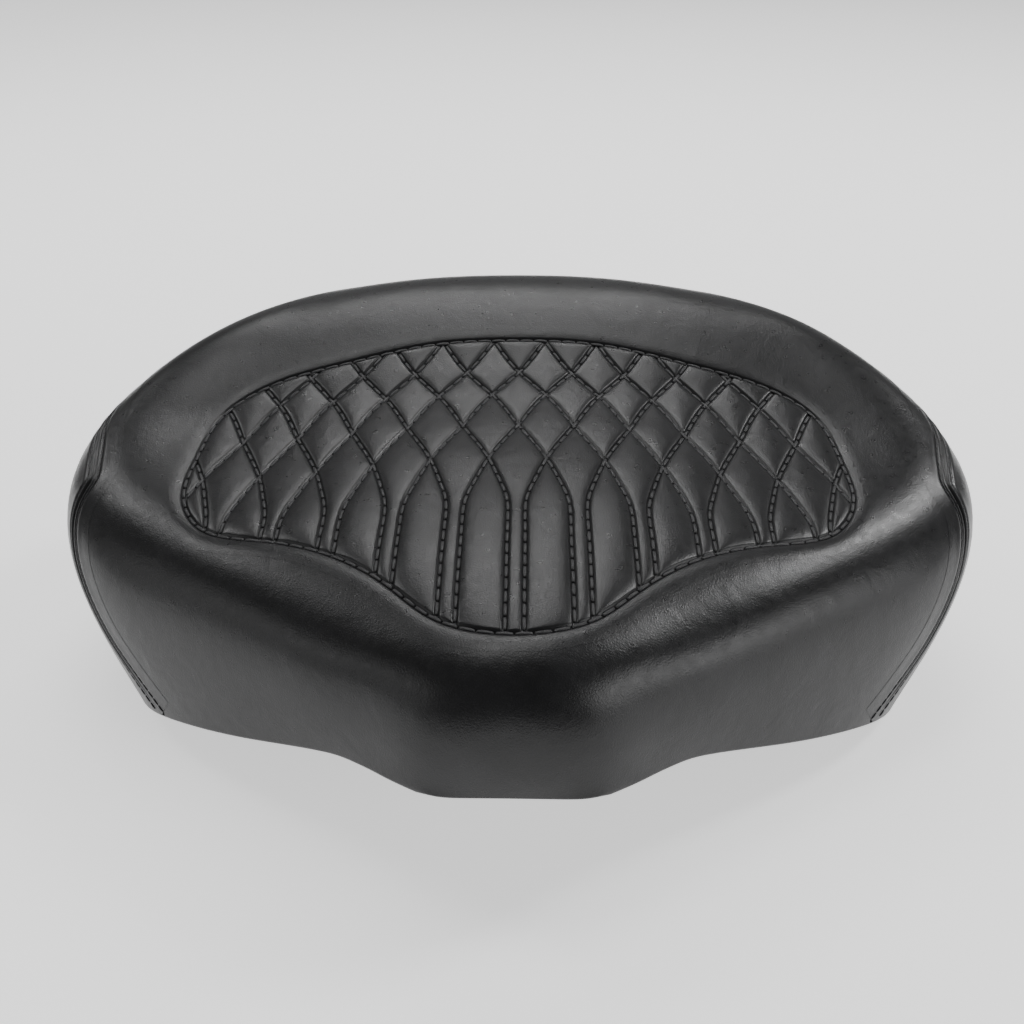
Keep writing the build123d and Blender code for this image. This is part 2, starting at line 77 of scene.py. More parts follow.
# Control points of the skin: each rib runs from the centre line over the shoulder to the hem.
# They are given one by one: nose, flanks, widest part, rolled rim and back.
RIBS = [
    [(0, -176, 47), (8, -176, 47), (15, -176, 47), (22, -176, 47),
     (28, -175.5, 47), (32, -174, 47), (35, -172, 46)],
    [(0, -179, 60), (10, -179, 60), (20, -178, 59), (29, -176, 57),
     (36, -173, 54), (41, -170, 50), (43, -167, 45)],
    [(0, -178, 76), (12, -178, 75), (24, -176, 73), (35, -172, 68),
     (43, -167, 61), (48, -163, 53), (50, -161, 43.5)],
    [(0, -172, 91), (14, -171, 90), (28, -168, 86), (41, -163, 79),
     (51, -159, 69), (57, -156, 57), (59, -154, 42.5)],
    [(0, -160, 100), (17, -159, 98.5), (34, -156, 94), (49, -153, 86),
     (61, -151, 75), (69, -149, 60), (72, -148, 40)],
    [(0, -143, 103.5), (22, -143, 102), (44, -142, 97), (64, -141, 88),
     (79, -140, 76), (88, -138, 59), (91, -136, 35)],
    [(0, -122, 106.5), (28, -123, 105), (57, -124, 100), (84, -124, 91),
     (103, -123, 78), (114, -121, 56), (116, -119, 27)],
    [(0, -98, 109.5), (34, -99, 108), (70, -101, 103), (104, -102, 96),
     (132, -102, 82), (147, -100, 54), (145, -98, 17)],
    [(0, -70, 112.5), (42, -71, 110.5), (86, -73, 104), (128, -75, 99),
     (165, -77, 87), (184, -78, 52), (167, -78, 7)],
    [(0, -42, 115.5), (48, -43, 113), (98, -44, 104), (148, -46, 101),
     (192, -49, 97), (213, -52, 62), (181, -50, 1)],
    [(0, -14, 117.5), (50, -14, 115), (104, -15, 107), (160, -17, 103),
     (205, -19, 107), (221, -20, 74), (190, -18, 0)],
    [(0, 14, 120), (50, 14, 118.5), (104, 13, 112.5), (158, 12, 109),
     (201, 11, 115), (218, 11, 82), (191, 12, 0)],
    [(0, 38, 126), (50, 38, 125), (100, 37, 121.5), (148, 36, 119),
     (188, 36, 126), (210, 38, 90), (187, 40, 0)],
    [(0, 60, 136), (47, 60, 135), (94, 58, 132), (136, 58, 130),
     (171, 60, 134), (198, 66, 92), (179, 68, 0)],
    [(0, 80, 143), (42, 80, 142.5), (84, 78, 140), (121, 78, 137),
     (151, 84, 138.5), (180, 94, 93), (166, 96, 3)],
    [(0, 98, 148), (36, 98, 147.5), (72, 96, 146), (104, 97, 141.5),
     (130, 105, 136.5), (157, 121, 91), (146, 122, 9)],
    [(0, 114, 147.5), (30, 114, 147), (60, 113, 144.5), (87, 115, 140),
     (109, 124, 132), (129, 143, 86), (121, 143, 17)],
    [(0, 131, 139.5), (24, 131, 139), (48, 131, 137), (69, 133, 133),
     (86, 141, 123), (100, 158, 80), (94, 157, 23)],
    [(0, 150, 122), (18, 150, 121.5), (36, 150, 120), (52, 151, 116),
     (65, 157, 105), (74, 169, 72), (70, 166, 27)],
    [(0, 166, 97), (14, 166, 97), (28, 166, 96), (40, 166, 92),
     (49, 169, 84), (54, 175, 64), (52, 171, 29)],
    [(0, 175, 70), (11, 175, 70), (22, 175, 69), (32, 175, 67),
     (39, 175.5, 63), (43, 176, 53), (43, 172.5, 30)],
    [(0, 173, 30), (9, 173, 30), (18, 173, 30), (26, 173, 30),
     (31, 173, 30), (35, 173, 30), (38, 173, 30)],
]
# Right half of the inlay's outline in plan, from its tip at the nose to the middle of its rear edge.
INLAY = [(0, -149), (28, -140), (47, -121), (70, -101), (100, -86), (132, -72), (145, -50), (146, -20),
         (140, 12), (122, 29), (85, 42), (42, 52), (0, 54)]
TIP_Y, TOP_Y = INLAY[0][1], INLAY[-1][1]
INLAY_HALF = 146.7          # half width of the outline drawn through these points
# Level of the side seam along the seat, as (y, z).
SEAM = [(-110, 0), (-92, 16), (-76, 36), (-60, 62), (-45, 82), (-28, 98), (0, 104), (60, 108), (110, 104),
        (180, 70)]
# How far a lattice line has run sideways (x) at a distance along the seat from the inlay's tip.
LINE_RUN = [0, 30, 64, 82, 96, 112, 140, 166, 183.5, 206, 229]
LINE_OFF = [TWIN_GAP / 2, TWIN_GAP / 2, TWIN_GAP / 2, 4.3, 7.8, PITCH / 2, PITCH,
            1.5 * PITCH, 2 * PITCH, 2.5 * PITCH, 3 * PITCH]

# Hem of the cover round the pan: its level as (y, z), and its half width as (y, x) up to the widest part.
HALF_WIDTH, REAR_Y, ROUND_Y, ROUND_POWER = 205.0, 175.0, -20.0, 2.1     # rounded rear of the outline
TUCK = 5.0                  # how far the hem lies inside the bulge of the skirt
HEM_PROUD = 1.2             # the cover's hem outside the pan edge
HEM = [(-176, 47), (-151, 42), (-124, 27), (-95, 13), (-70, 4), (-40, 0), (70, 0), (90, 2), (110, 7),
       (145, 20), (175, 30)]
HEM_X = [(-176, 31), (-168, 42), (-151, 64), (-124, 109.5), (-106, 138), (-88, 159.5),
         (-70, 171.5), (-40, 182.5), (-10, 189)]


# ---------------------------------------------------------------- curves and the skin
def through(knots, at):
    """Smooth curve through the knots without overshoot, read at the given places."""
    xs, ys = np.array(knots, float).T
    at = np.clip(np.asarray(at, float), xs[0], xs[-1])
    slope = np.diff(ys) / np.diff(xs)
    product = slope[:-1] * slope[1:]
    inner = np.where(product > 0, 2 * product / np.where(product > 0, slope[:-1] + slope[1:], 1), 0)
    tangent = np.concatenate([slope[:1], inner, slope[-1:]])
    k = np.clip(np.searchsorted(xs, at) - 1, 0, len(xs) - 2)
    step = xs[k + 1] - xs[k]
    t = (at - xs[k]) / step
    ends = (1 + 2 * t) * (1 - t) ** 2 * ys[k] + t * t * (3 - 2 * t) * ys[k + 1]
    return ends + step * (t * (1 - t) ** 2 * tangent[k] - t * t * (1 - t) * tangent[k + 1])


def ease(t):
    """Smooth step from 0 to 1."""
    t = np.clip(t, 0, 1)
    return t * t * (3 - 2 * t)


def hem_x(y):
    """Half width of the hem."""
    reach = np.clip((y - ROUND_Y) / (REAR_Y + 2 - ROUND_Y), 0, 1)
    rounded = HALF_WIDTH * (1 - reach ** ROUND_POWER) ** (1 / ROUND_POWER) - TUCK
    return np.where(y < ROUND_Y, through(HEM_X, y), np.minimum(through(HEM_X, y), rounded))


def hem_z(y):
    """Level of the hem."""
    return through(HEM, y)


def spline(xs, ys, at):
    """Natural cubic spline through (xs, ys), read at the given places."""
    xs, ys, at = (np.asarray(v, float) for v in (xs, ys, at))
    n = len(xs)
    h = np.diff(xs)
    system, right = np.eye(n), np.zeros(n)
    for i in range(1, n - 1):
        system[i, i - 1:i + 2] = h[i - 1], 2 * (h[i - 1] + h[i]), h[i]
        right[i] = 6 * ((ys[i + 1] - ys[i]) / h[i] - (ys[i] - ys[i - 1]) / h[i - 1])
    bend = np.linalg.solve(system, right)
    k = np.clip(np.searchsorted(xs, at) - 1, 0, n - 2)
    a, b, w = (xs[k + 1] - at), (at - xs[k]), h[k]
    return (bend[k] * a ** 3 + bend[k + 1] * b ** 3) / (6 * w) \
        + (ys[k] / w - bend[k] * w / 6) * a + (ys[k + 1] / w - bend[k + 1] * w / 6) * b


def closed_curve(half, count):
    """Smooth closed outline drawn from its right half, as count points, counterclockwise."""
    points = np.array(half + [(-x, y) for x, y in reversed(half[1:-1])], float)
    wrap = 4
    run = np.vstack([points[-wrap:], points, points[:wrap + 1]])
    where = np.concatenate([[0], np.cumsum(np.hypot(*np.diff(run, axis=0).T))])
    at = np.linspace(where[wrap], where[wrap + len(points)], count, endpoint=False)
    return np.column_stack([spline(where, run[:, 0], at), spline(where, run[:, 1], at)])


def clamped_knots(count):
    """Knots of a clamped cubic B-spline with a number of control points."""
    return np.concatenate([[0.0] * 3, np.arange(count - 2), [count - 3.0] * 3])


def basis(u, count):
    """First control point and the four weights of a clamped cubic B-spline at each u in 0..count - 3."""
    knots = clamped_knots(count)
    first = np.clip(np.floor(u).astype(int), 0, count - 4)
    span = first + 3
    weights = [np.ones_like(u)]
    for degree in range(1, 4):
        left = [u - knots[span + 1 - j] for j in range(1, degree + 1)]
        right = [knots[span + j] - u for j in range(1, degree + 1)]
        carry, raised = 0.0, []
        for r in range(degree):
            share = weights[r] / (right[r] + left[degree - 1 - r])
            raised.append(carry + right[r] * share)
            carry = left[degree - 1 - r] * share
        weights = raised + [carry]
    return first, np.stack(weights, -1)


SETTLE = 15                 # rounds of moving the hem's control points


def skin_net():
    """Control points of the whole width, settled so that the skin's edge meets the hem."""
    net = np.array([[(-x, y, z) for x, y, z in reversed(rib[1:])] + rib for rib in RIBS], float)
    net[0, :, 1] -= HEM_PROUD
    net[-1, :, 1] += HEM_PROUD
    net[[0, -1], :, 2] += EDGE_R
    count = len(net)
    knots = clamped_knots(count)
    middles = np.array([knots[i + 1:i + 4].mean() for i in range(count)])
    first, weights = basis(middles, count)
    for column, side in ((0, -1), (-1, 1)):
        hem = net[:, column]
        for _ in range(SETTLE):
            reached = sum(weights[:, j:j + 1] * hem[first + j] for j in range(4))
            hem[1:-1, 0] += side * (hem_x(reached[1:-1, 1]) + HEM_PROUD) - reached[1:-1, 0]
            hem[1:-1, 2] += hem_z(reached[1:-1, 1]) + EDGE_R - reached[1:-1, 2]
    return net


NET = skin_net()
S_END, T_END = NET.shape[0] - 3.0, NET.shape[1] - 3.0


def skin(s, w):
    """Points of the skin: s runs from the nose hem (0) to the rear hem (1), w across from -1 to 1."""
    s, w = np.broadcast_arrays(np.asarray(s, float), np.asarray(w, float))
    row, along = basis(np.clip(s, 0, 1).ravel() * S_END, NET.shape[0])
    col, over = basis((np.clip(w, -1, 1).ravel() + 1) / 2 * T_END, NET.shape[1])
    out = np.zeros((row.size, 3))
    for i in range(4):
        for j in range(4):
            out += (along[:, i] * over[:, j])[:, None] * NET[row + i, col + j]
    return out.reshape(s.shape + (3,))


def normals(s, w, step=2e-4):
    """Outward unit normals of the skin."""
    ds = skin(s + step, w) - skin(s - step, w)
    dw = skin(s, w + step) - skin(s, w - step)
    n = np.cross(dw, ds)
    return n / np.maximum(np.linalg.norm(n, axis=-1, keepdims=True), 1e-12)


WAVE_ACROSS, WAVE_ALONG = 0.16, 0.14        # heights of the slight waviness of a hand-stretched cover


def raised(s, w, height):
    """Points at a height over the skin and its waviness."""
    p = skin(s, w)
    x, y, z = p[..., 0], p[..., 1], p[..., 2]
    wave = WAVE_ACROSS * np.sin(x / 17 + 1.3 * np.sin(y / 23))
    wave = wave + WAVE_ALONG * np.sin(y / 13 + 0.9 * np.sin(x / 19 + z / 31) + 2)
    return p + normals(s, w) * (wave + height)[..., None]


SEARCH = 12                 # rounds of closing in on a place of the skin


def locate(x, y):
    """Skin parameters whose point lies at (x, y) on the upper side."""
    crest = np.linspace(0.1, 0.8, 400)
    line = skin(crest, np.zeros_like(crest))
    s = np.interp(y, line[:, 1], crest)
    w = x / 230.0
    for _ in range(SEARCH):
        p = skin(s, w)
        ps, pw = (skin(s + TINY, w) - p) / TINY, (skin(s, w + TINY) - p) / TINY
        ex, ey = x - p[..., 0], y - p[..., 1]
        det = ps[..., 0] * pw[..., 1] - ps[..., 1] * pw[..., 0]
        det = np.where(np.abs(det) < 1e-9, 1e-9, det)
        s = np.clip(s + np.clip((ex * pw[..., 1] - ey * pw[..., 0]) / det, -0.08, 0.08), 0.02, 0.9)
        w = np.clip(w + np.clip((ps[..., 0] * ey - ps[..., 1] * ex) / det, -0.15, 0.15), -0.95, 0.95)
    return s, w


CENTRE_S = np.linspace(0.05, 0.75, 1500)
CENTRE = skin(CENTRE_S, np.zeros_like(CENTRE_S))
CENTRE_RUN = np.concatenate([[0], np.cumsum(np.linalg.norm(np.diff(CENTRE, axis=0), axis=1))])
CENTRE_RUN -= np.interp(TIP_Y, CENTRE[:, 1], CENTRE_RUN)


def run_at(y):
    """Distance along the seat's centre line from the inlay's tip."""
    return np.interp(y, CENTRE[:, 1], CENTRE_RUN)


def line_offset(y):
    """How far a lattice line has run sideways at y."""
    return spline(LINE_RUN, LINE_OFF, np.clip(run_at(y), 0, LINE_RUN[-1]))


UPPER_Z, UPPER_X, UPPER_Y = 60, 175, 80      # where the upper side of the cushion lies
FAR_OUT = -99.0
OUTLINE = closed_curve(INLAY, 1200)
OUTLINE_DIR = np.roll(OUTLINE, -1, axis=0) - np.roll(OUTLINE, 1, axis=0)
OUTLINE_DIR /= np.linalg.norm(OUTLINE_DIR, axis=1, keepdims=True)


def inside_by(x, y):
    """Distance to the inlay's outline, positive inside it."""
    flat = np.column_stack([np.ravel(x), np.ravel(y)])
    out = np.empty(len(flat))
    for low in range(0, len(flat), BLOCK):
        spots = flat[low:low + BLOCK]
        gap = ((spots[:, None, :] - OUTLINE[None, ::4]) ** 2).sum(-1)
        near = gap.argmin(1) * 4
        best, sign = np.full(len(spots), 1e9), np.ones(len(spots))
        for shift in range(-4, 5):
            k = (near + shift) % len(OUTLINE)
            away = spots - OUTLINE[k]
            along = np.clip((away * OUTLINE_DIR[k]).sum(1), -0.6, 0.6)
            rest = away - along[:, None] * OUTLINE_DIR[k]
            size = np.hypot(*rest.T)
            side = OUTLINE_DIR[k, 0] * away[:, 1] - OUTLINE_DIR[k, 1] * away[:, 0]
            closer = size < best
            best = np.where(closer, size, best)
            sign = np.where(closer, np.sign(side), sign)
        out[low:low + BLOCK] = best * sign
    return out.reshape(np.shape(x))


def plan_depth(x, y, z):
    """Distance inside the inlay's outline for points of the upper side, far outside it for all others."""
    upper = (z > UPPER_Z) & (np.abs(x) < UPPER_X) & (y < UPPER_Y)
    deep = np.full(x.shape, FAR_OUT)
    deep[upper] = inside_by(x[upper], y[upper])
    return deep


# ---------------------------------------------------------------- relief of the quilted inlay
PUFF, PUFF_REACH = 0.9, 1.5         # steep rise of a quilted tile beside its channels
CROWN, CROWN_REACH = 1.0, 6.0       # slow rise to the middle of a tile
CHANNEL, CHANNEL_W, WALL = 0.8, 0.95, 0.25      # depth, half width and wall of a sewn channel
SINK, SINK_REACH = 1.1, 4.0         # depth of the inlay's sewn edge under the smooth cover
SINK_END = BAND - 1.5               # where the smooth cover is level again


def lattice_gap(x, y):
    """Distances to the nearest line of each of the two families."""
    off = line_offset(y)
    lean = (line_offset(y + 0.5) - line_offset(y - 0.5))
    square = 1 / np.sqrt(1 + lean ** 2)
    gaps = []
    for side in (-1, 1):
        phase = (x - side * off) / PITCH
        gaps.append(np.abs(phase - np.round(phase)) * PITCH * square)
    return gaps


def relief(x, y, depth_in):
    """Height of the quilting over the smooth skin."""
    first, second = lattice_gap(x, y)
    rim = np.abs(depth_in)

    def swell(height, reach):
        rise = [1 - np.exp(-gap / reach) for gap in (first, second, rim)]
        return height * rise[0] * rise[1] * rise[2]

    def trench(gap):
        return -CHANNEL / (1 + np.exp((gap - CHANNEL_W) / (WALL / 3)))

    fade = np.clip(1 - (rim / SINK_END) ** 2, 0, 1) ** 2
    panel = -SINK * np.exp(-rim / SINK_REACH) * fade + trench(rim)
    quilt = swell(PUFF, PUFF_REACH) + swell(CROWN, CROWN_REACH) - SINK \
        + trench(np.minimum(rim, np.minimum(first, second)))
    return np.where(depth_in > 0, quilt, panel)


def place(points):
    """Datum millimetres to metres in the part's frame."""
    return (np.asarray(points) + (0, AFT, 0)) * MM


# ---------------------------------------------------------------- mesh helpers
def mesh_object(name, points, faces):
    """New smooth-shaded object from points in datum millimetres."""
    mesh = bpy.data.meshes.new(name)
    mesh.from_pydata([tuple(p) for p in place(points)], [], [tuple(f) for f in faces])
    mesh.polygons.foreach_set("use_smooth", [True] * len(mesh.polygons))
    mesh.update()
    piece = bpy.data.objects.new(name, mesh)
    bpy.context.scene.collection.objects.link(piece)
    return piece


def grid_faces(index, keep=None):
    """Quads of a grid of vertex numbers; -1 marks a missing vertex."""
    a, b, c, d = index[:-1, :-1], index[1:, :-1], index[1:, 1:], index[:-1, 1:]
    whole = (a >= 0) & (b >= 0) & (c >= 0) & (d >= 0)
    if keep is not None:
        whole &= keep
    return np.stack([a[whole], d[whole], c[whole], b[whole]], -1)


def compact(points, faces):
    """Drops the points that no face uses."""
    used = np.unique(faces)
    back = np.full(len(points), -1)
    back[used] = np.arange(len(used))
    return points[used], back[faces]


# ---------------------------------------------------------------- side seam
SEAM_REACH = 13.0           # half width of the fine strip along the side seam
STRIP = [0, 0.3, 0.6, 0.9, 1.3, 1.7, 2.1, 2.5, 2.9, 3.3, 3.7, 4.2, 4.8, 5.5, 6.5, 8, 9.5, 11, SEAM_REACH]
SEAM_DEPTH, SEAM_GROOVE = 1.0, 0.75         # groove along the seam
ROW_DEPTH, ROW_GROOVE = 0.45, 0.8           # groove along each topstitched row
WELT = 0.5                  # swell of the seam allowance between seam and topstitching
SEAM_PACE = 0.5             # longest step when a row is walked away from the seam
RUN_OUT = 0.06              # share of the half width over which the seam fades into the hem


def seam_z(y):
    """Level of the side seam."""
    return through(SEAM, y)


def over_seam(s, w):
    """Height of a skin point over the level of the seam."""
    p = skin(s, w)
    return p[..., 2] - seam_z(p[..., 1])


def trace_seam(step=1.5):
    """Skin parameters along the right side seam, from the front corner's hem to the middle of the back."""
    rows = np.linspace(0.12, 0.6, 3000)
    s = rows[np.argmax(over_seam(rows, np.ones_like(rows)) < 0)]
    w = 1.0
    spots, heading = [(s, w)], None
    while w > 0 and len(spots) < 900:
        p, ps, pw = skin(s, w), skin(s + TINY, w), skin(s, w - TINY)
        ps, pw = (ps - p) / TINY, (p - pw) / TINY
        value = over_seam(s, w)
        fs, fw = (over_seam(s + TINY, w) - value) / TINY, (value - over_seam(s, w - TINY)) / TINY
        ds, dw = -fw, fs
        size = np.linalg.norm(ps * ds + pw * dw)
        ds, dw = ds * step / size, dw * step / size
        if heading is None:
            flip = dw > 0
        else:
            flip = ds * heading[0] + dw * heading[1] < 0
        if flip:
            ds, dw = -ds, -dw
        heading = (ds, dw)
        s, w = s + ds, min(w + dw, 1.0)
        for _ in range(3):
            value = over_seam(s, w)
            fs, fw = (over_seam(s + TINY, w) - value) / TINY, (value - over_seam(s, w - TINY)) / TINY
            grade = fs * fs + fw * fw
            s, w = s - value * fs / grade, min(w - value * fw / grade, 1.0)
        spots.append((s, w))
    spots[-1] = (spots[-1][0], 0.0)
    return np.array(spots)


SEAM_LINE = trace_seam()
SEAM_POINTS = skin(*SEAM_LINE.T)


def seam_strip(offsets):
    """Skin parameters of rows beside the right seam; positive offsets lie over it."""
    rows = {0.0: SEAM_LINE.copy()}
    run = np.gradient(SEAM_POINTS, axis=0)
    run /= np.linalg.norm(run, axis=1, keepdims=True)
    for side in (1, -1):
        s, w = SEAM_LINE.T.copy()
        distance = 0.0
        for target in sorted(abs(o) for o in offsets if o * side > 0):
            while distance < target - 1e-9:
                move = min(SEAM_PACE, target - distance)
                p = skin(s, w)
                ps, pw = (skin(s + TINY, w) - p) / TINY, (p - skin(s, w - TINY)) / TINY
                face = np.cross(pw, ps)
                face /= np.maximum(np.linalg.norm(face, axis=1, keepdims=True), 1e-9)
                away = np.cross(run, face) * side
                away *= np.where(away[:, 2:] * side < 0, -1, 1)
                a, b, c = (ps * ps).sum(1), (ps * pw).sum(1), (pw * pw).sum(1)
                d, e = (ps * away).sum(1), (pw * away).sum(1)
                det = np.maximum(a * c - b * b, 1e-6)
                s = np.clip(s + move * (c * d - b * e) / det, 0, 1)
                w = np.clip(w + move * (a * e - b * d) / det, -1, 1)
                distance += move
            rows[side * target] = np.column_stack([s, w])
    return np.stack([rows[float(o)] for o in offsets])


def seam_relief(d):
    """Height over the smooth skin at a distance from a seam."""
    swell = WELT * (np.exp(-((np.abs(d) - 1.6) / 1.2) ** 2) + 0.5 * np.exp(-((np.abs(d) - 4.8) / 1.8) ** 2))
    rows = -ROW_DEPTH * np.exp(-((np.abs(d) - SEAM_ROW) / ROW_GROOVE) ** 2)
    return swell + rows - SEAM_DEPTH * np.exp(-(d / SEAM_GROOVE) ** 2)


def beside_seam(s, w, d):
    """Points beside the side seam; its relief runs out at the hem, where the panels are folded together."""
    return raised(s, w, seam_relief(d) * ease((1 - np.abs(w)) / RUN_OUT) + LIFT)


# ---------------------------------------------------------------- cover panels
COARSE_S, COARSE_W = 260, 241       # points along and across the smooth cover
OVERLAP = 2.5               # how far the smooth cover runs under the inlay's band
SEAM_OVERLAP = 3.5          # and under the strips along the side seam
BACK_Y = 150.0              # the upright seam at the back lies behind this


def coarse_cover():
    """Smooth skin away from the inlay and the side seams.

    Gives the points, their numbers, the open cells, and which points are over the seam.
    """
    s = np.linspace(0, 1, COARSE_S)
    w = np.linspace(-1, 1, COARSE_W)
    s, w = np.meshgrid(s, w, indexing="ij")
    x, y, z = np.moveaxis(skin(s, w), -1, 0)
    back_seam = np.where((y > BACK_Y) & (z < seam_z(y)), 1.0, 0.0)
    grid = raised(s, w, back_seam * seam_relief(x))
    deep = plan_depth(x, y, z)
    flat = np.stack([np.abs(x), y, z], -1).reshape(-1, 3)
    gap, spot = np.empty(len(flat)), np.empty(len(flat), int)
    for low in range(0, len(flat), BLOCK):
        apart = ((flat[low:low + BLOCK, None] - SEAM_POINTS[None]) ** 2).sum(-1)
        spot[low:low + BLOCK] = apart.argmin(1)
        gap[low:low + BLOCK] = np.sqrt(apart.min(1))
    beside = ((gap < SEAM_REACH - SEAM_OVERLAP) & (spot > 1)).reshape(x.shape)
    hidden = (deep > -(BAND - OVERLAP)) | beside
    covered = hidden[:-1, :-1] & hidden[1:, :-1] & hidden[1:, 1:] & hidden[:-1, 1:]
    top = z > seam_z(y)
    index = np.arange(x.size).reshape(x.shape)
    return grid, index, ~covered, top


def inlay_grid():
    """Fine grid over the inlay and a band round it: points, vertex numbers and depth inside the outline."""
    reach = INLAY_HALF + BAND
    across = np.arange(-reach, reach + FINE, FINE)
    along = np.arange(TIP_Y - BAND, TOP_Y + BAND + FINE, FINE)
    x, y = np.meshgrid(across, along, indexing="ij")
    deep = inside_by(x, y)
    kept = deep > -BAND
    index = np.full(x.shape, -1)
    index[kept] = np.arange(kept.sum())
    s, w = locate(x[kept], y[kept])
    height = relief(x[kept], y[kept], deep[kept]) + LIFT
    return raised(s, w, height), index, deep


def build_cover():
    """The sewn panels: top, quilted inlay and both side skirts."""
    parts = {"cover_top": [], "quilted_inlay": [], "side_skirt_left": [], "side_skirt_right": []}
    grid, index, open_cells, top = coarse_cover()
    flat = grid.reshape(-1, 3)
    cell_top = top[:-1, :-1] & top[1:, :-1] & top[1:, 1:] & top[:-1, 1:]
    cell_low = ~top[:-1, :-1] & ~top[1:, :-1] & ~top[1:, 1:] & ~top[:-1, 1:]
    left = (grid[:-1, :-1, 0] + grid[1:, 1:, 0]) < 0
    parts["cover_top"].append((flat, grid_faces(index, open_cells & cell_top)))
    parts["side_skirt_left"].append((flat, grid_faces(index, open_cells & cell_low & left)))
    parts["side_skirt_right"].append((flat, grid_faces(index, open_cells & cell_low & ~left)))

    points, index, deep = inlay_grid()
    middle = (deep[:-1, :-1] + deep[1:, 1:] + deep[1:, :-1] + deep[:-1, 1:]) / 4
    parts["quilted_inlay"].append((points, grid_faces(index, middle > 0)))
    parts["cover_top"].append((points, grid_faces(index, middle <= 0)))

    for name, side in (("cover_top", 1), ("skirt", -1)):
        offsets = [side * d for d in STRIP]
        params = seam_strip(offsets)
        s, w = params[..., 0], params[..., 1]
        for mirror in (1, -1):
            strip = beside_seam(s, mirror * w, np.array(offsets)[:, None])
            numbers = np.arange(strip[..., 0].size).reshape(strip.shape[:2])
            if mirror * side > 0:
                numbers = numbers[:, ::-1]
            owner = name if side > 0 else ("side_skirt_right" if mirror > 0 else "side_skirt_left")
            parts[owner].append((strip.reshape(-1, 3), grid_faces(numbers)))
    for owner, fold in hem_folds().items():
        parts[owner].append(fold)
    pieces = {}
    for name, chunks in parts.items():
        points, faces, start = [], [], 0
        for chunk_points, chunk_faces in chunks:
            chunk_points, chunk_faces = compact(chunk_points, chunk_faces)
            points.append(chunk_points)
            faces.append(chunk_faces + start)
            start += len(chunk_points)
        pieces[name] = mesh_object(name + "_sewn", np.vstack(points), np.vstack(faces))
    return pieces


HEM_ACROSS, HEM_ALONG = 60, 420     # points of the hem across the nose or the back, and along one side


def hem_folds():
    """Rounded lower edge and the allowance folded under the pan, one strip for each panel."""
    across, along = np.linspace(-1, 1, HEM_ACROSS), np.linspace(0, 1, HEM_ALONG)
    rows = [(np.zeros(HEM_ACROSS), across), (along[1:], np.ones(HEM_ALONG - 1)),
            (np.ones(HEM_ACROSS - 1), across[::-1][1:]), (along[::-1][1:-1], -np.ones(HEM_ALONG - 2))]
    loop = np.vstack([raised(s, w, np.zeros(len(s))) for s, w in rows])
    run = np.roll(loop, -1, axis=0)[:, :2] - np.roll(loop, 1, axis=0)[:, :2]
    run /= np.linalg.norm(run, axis=1, keepdims=True)
    inward = np.column_stack([-run[:, 1], run[:, 0], np.zeros(len(run))])
    turn = np.linspace(0, pi / 2, 6)
    profile = [(EDGE_R * (1 - cos(a)), -EDGE_R * sin(a)) for a in turn]
    profile += [(FOLD * 0.5, -EDGE_R), (FOLD, -EDGE_R), (FOLD, -EDGE_R + FOLD_LIP)]
    rings = np.stack([loop + inward * depth + (0, 0, drop + FOLD_RISE * (drop < -1))
                      for depth, drop in profile])
    numbers = np.arange(rings[..., 0].size).reshape(rings.shape[:2])
    numbers = np.column_stack([numbers, numbers[:, 0]])
    x, y, z = loop.T
    skirt = z - EDGE_R < seam_z(y) - 1.0
    owners = {"cover_top": ~skirt, "side_skirt_left": skirt & (x < 0), "side_skirt_right": skirt & (x >= 0)}
    flat = rings.reshape(-1, 3)
    return {name: (flat, grid_faces(numbers, np.repeat(mask[None], len(profile) - 1, 0)))
            for name, mask in owners.items()}


# ---------------------------------------------------------------- thread
LINES = 9                   # lattice lines of a family on each side of the middle
THREAD_END = 1.2            # where a lattice line's thread stops, inside the outline
LINE_STEP = 0.5             # between the points of a lattice line
RING = 8                    # points round a stitch
FREE = 0.03                 # share of a stitch left open at each end


def stitched(name, rows, pitch, radius):
    """Flattened stitches laid end to end along each row of (points, normals)."""
    turn = np.arange(RING) * 2 * pi / RING
    t = np.array([0, 0.03, 0.1, 0.3, 0.5, 0.7, 0.9, 0.97, 1])
    bow = np.clip(np.sin(pi * t), 0, 1) ** 0.22
    stations = len(t)
    points, faces, start = [], [], 0
    for path, up in rows:
        along = np.concatenate([[0], np.cumsum(np.linalg.norm(np.diff(path, axis=0), axis=1))])
        count = max(int(round(along[-1] / pitch)), 1)
        for k in range(count):
            at = along[-1] * (k + FREE + (1 - 2 * FREE) * t) / count
            spine = np.column_stack([np.interp(at, along, path[:, i]) for i in range(3)])
            lift = np.column_stack([np.interp(at, along, up[:, i]) for i in range(3)])
            lift /= np.linalg.norm(lift, axis=1, keepdims=True)
            run = np.gradient(spine, axis=0)
            side = np.cross(run, lift)
            side /= np.linalg.norm(side, axis=1, keepdims=True)
            spine = spine + lift * (radius * (1.1 * bow - 0.5))[:, None]
            width, height = radius * (0.7 + 0.4 * bow), radius * 0.8 * (0.4 + 0.6 * bow)
            rings = spine[:, None] + side[:, None] * (width[:, None] * np.cos(turn))[..., None] \
                + lift[:, None] * (height[:, None] * np.sin(turn))[..., None]
            points.append(rings.reshape(-1, 3))
            for i in range(stations - 1):
                for j in range(RING):
                    a, b = i * RING + j, i * RING + (j + 1) % RING
                    faces.append((start + a, start + b, start + b + RING, start + a + RING))
            first, last = start, start + (stations - 1) * RING
            faces.append(tuple(first + j for j in reversed(range(RING))))
            faces.append(tuple(last + j for j in range(RING)))
            start += RING * stations
    return mesh_object(name, np.vstack(points), faces)


